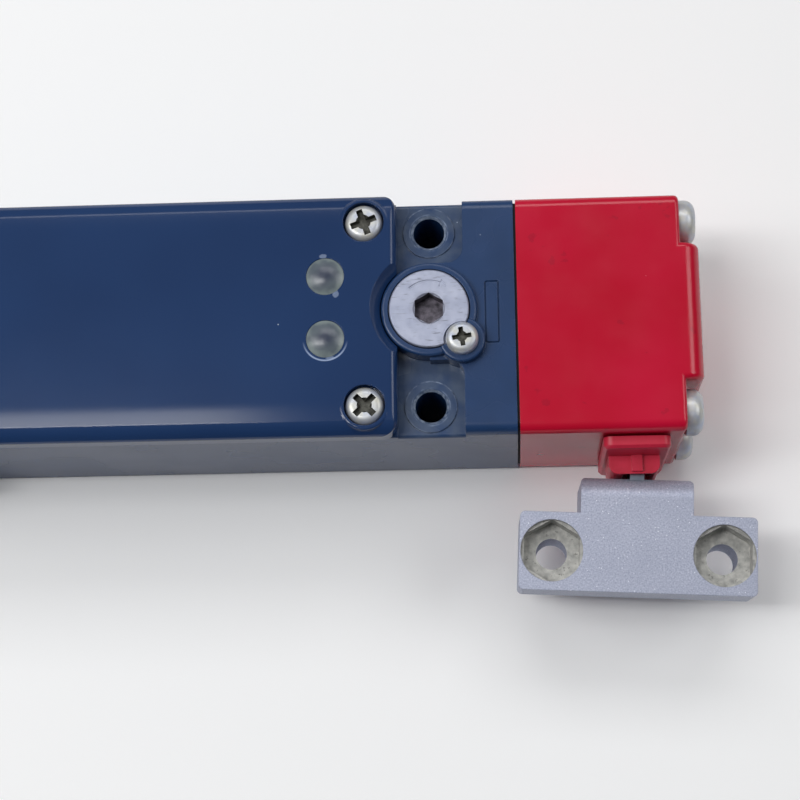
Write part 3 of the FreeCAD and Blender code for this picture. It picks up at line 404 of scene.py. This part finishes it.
# Bare cast zinc: dull warm grey, pitted and stained by the bolts.
cast_zinc, shader, spot = finish("bare cast zinc", Metallic=0.3, Roughness=0.5)
colour = tint(cast_zinc, mottle(cast_zinc, spot, 1.2 * MM, 0, 1, 6.0), "9B9B98", "C9C8C3")
colour = tint(cast_zinc, mottle(cast_zinc, spot, 0.7 * MM, -2.4, 0.6, 5.0), colour, "5C5B57")
wire(cast_zinc, colour, shader, "Base Color")
rough_up(cast_zinc, shader, spot, 0.5 * MM, 0.06 * MM, 4.0)
regrade(bracket, cast_zinc, lambda c: POCKET_Z[0] < c.z < POCKET_Z[1]
        and any(reach(c, x, y) < POCKET_R for x, y in BRACKET_HOLES))

# Ground steel: cool grey with a fine satin grain.
steel, shader, spot = finish("ground steel", Metallic=1.0, Roughness=0.3)
colour = tint(steel, mottle(steel, spot, 3 * MM, 0, 1, 4.0), "8F97A6", "A9B0BD")
wire(steel, colour, shader, "Base Color")
rough_up(steel, shader, spot, 0.3 * MM, 0.006 * MM)
for name in (
    "tongue", "tongue_rivets", "cam_axle", "rod_spring", "plunger_spring", "solenoid_core",
    "solenoid_plunger", "solenoid_yoke", "lever_pin", "lock_lever", "chassis_plate",
    "release_circlip", "release_cam",
):
    dress(name, steel)

# ---- rod spring ----------------------------------------------------------------------
# Open coil of hard-drawn steel wire around the transmission rod, between its bush and its
# collar. The rod shortens it by its whole travel when the tongue is drawn out.
coil = bpy.data.objects.new("rod_return_spring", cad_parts["rod_spring"].data.copy())
bpy.context.scene.collection.objects.link(coil)
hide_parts("rod_spring")
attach(coil, "switch")
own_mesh(coil)

# ---- inside --------------------------------------------------------------------------
# Contacts, solenoid and terminals, and the plugs of the side entries: moulded nylon, turned
# brass and wound copper wire, screwed to a steel plate or into the casting.

# Moulded nylon, black and grey: even and slightly toothed, with a low sheen.
for name, slot, dark, pale, nodes in (
    ("moulded black nylon", "black_plastic", "18191B", "232528",
     ("contact_block", "coil_bobbin", "cam_wheel", "entry_plugs")),
    ("moulded grey nylon", "grey_plastic", "8F918B", "9C9E98",
     ("terminal_block", "transmission_rod")),
):
    plastic, shader, spot = finish(name, Roughness=0.5, IOR=1.53)
    colour = tint(plastic, mottle(plastic, spot, 4 * MM, 0, 1), dark, pale)
    wire(plastic, colour, shader, "Base Color")
    rough_up(plastic, shader, spot, 0.5 * MM, 0.015 * MM, edge=0.25 * MM)
    for node in nodes:
        dress(node, plastic)

# Turned brass: warm and bright, tarnished in clouds.
brass, shader, spot = finish("turned brass", Metallic=1.0, Roughness=0.3)
colour = tint(brass, mottle(brass, spot, 2 * MM, 0, 1), "BF9D50", "D0B063")
wire(brass, colour, shader, "Base Color")
for name in ("rod_bush", "contact_clamps", "earth_screw"):
    dress(name, brass)

# Enamelled copper wire: glossy red-brown turns.
winding, shader, spot = finish("enamelled copper wire", Metallic=0.6, Roughness=0.35)
colour = tint(winding, mottle(winding, spot, 2 * MM, 0, 1), "8A4420", "A4572B")
wire(winding, colour, shader, "Base Color")
dress("coil_winding", winding)

# ---- table, light and camera ---------------------------------------------------------
# A white paper table in a pale room that is darker towards the viewer, under softboxes:
# two narrow ones overhead on the left, and large ones on the left, on the right and behind.
TABLE_SIZE = 14.0
TABLE_DROP = 0.2 * MM       # the tabletop lies this far under the casting
CEILING = (0.0, 0.55, 0.83)     # direction of the brightest part of the room
DAYLIGHT = (0.93, 0.96, 1.0, 1)
bpy.ops.mesh.primitive_plane_add(size=TABLE_SIZE, location=(0, 0, -TABLE_DROP))
table = bpy.context.object
table.name = "table"
paper, shader, spot = finish("white paper", Roughness=0.9)
seen = add(paper, "ShaderNodeLightPath").outputs["Is Camera Ray"]
wire(paper, tint(paper, seen, "EFEFF0", "FFFFFF"), shader, "Base Color")
table.data.materials.append(paper)

world = bpy.data.worlds.new("studio")
world.use_nodes = True
way = add(world, "ShaderNodeTexCoord").outputs["Generated"]
toward = {0: way, 1: CEILING}
back = add(world, "ShaderNodeVectorMath", toward, operation="DOT_PRODUCT").outputs["Value"]
room = world.node_tree.nodes["Background"]
room.inputs["Color"].default_value = DAYLIGHT
wire(world, spread(world, back, 0.1, 0.95, 0.07, 0.22), room, "Strength")
bpy.context.scene.world = world


def softbox(name, location, size, radiance, aim=(0, 0, 0)):
    """A rectangular lamp of that radiance, turned to the aim."""
    lamp = bpy.data.lights.new(name, "AREA")
    lamp.shape = "RECTANGLE"
    lamp.size, lamp.size_y = size
    lamp.energy = radiance * pi * size[0] * size[1]
    holder = bpy.data.objects.new(name, lamp)
    bpy.context.scene.collection.objects.link(holder)
    holder.location = location
    holder.rotation_euler = (Vector(aim) - Vector(location)).to_track_quat("-Z", "Y").to_euler()


softbox("overhead softbox", (-0.48, 0.08, 1.0), (0.62, 0.13), 4, aim=(-0.48, 0.081, 0.0))
softbox("overhead strip", (-0.48, -0.065, 1.0), (0.62, 0.12), 15, aim=(-0.48, -0.064, 0.0))
softbox("left softbox", (-1.2, 0.1, 1.2), (0.9, 0.7), 2.8)
softbox("right softbox", (1.2, 0.2, 1.2), (0.9, 0.7), 2.8)
softbox("back softbox", (0.1, 1.1, 1.5), (1.6, 0.6), 2.8)

camera = bpy.data.objects.new("camera", bpy.data.cameras.new("camera"))
bpy.context.scene.collection.objects.link(camera)
camera.location = (0.01568, -0.10531, 0.4245)
camera.rotation_euler = [radians(a) for a in (12.727, 3.4, -0.558)]
camera.data.sensor_width = 36
camera.data.lens = 85.5
camera.data.clip_start = 0.01
bpy.context.scene.camera = camera
bpy.context.scene.view_settings.view_transform = "Standard"
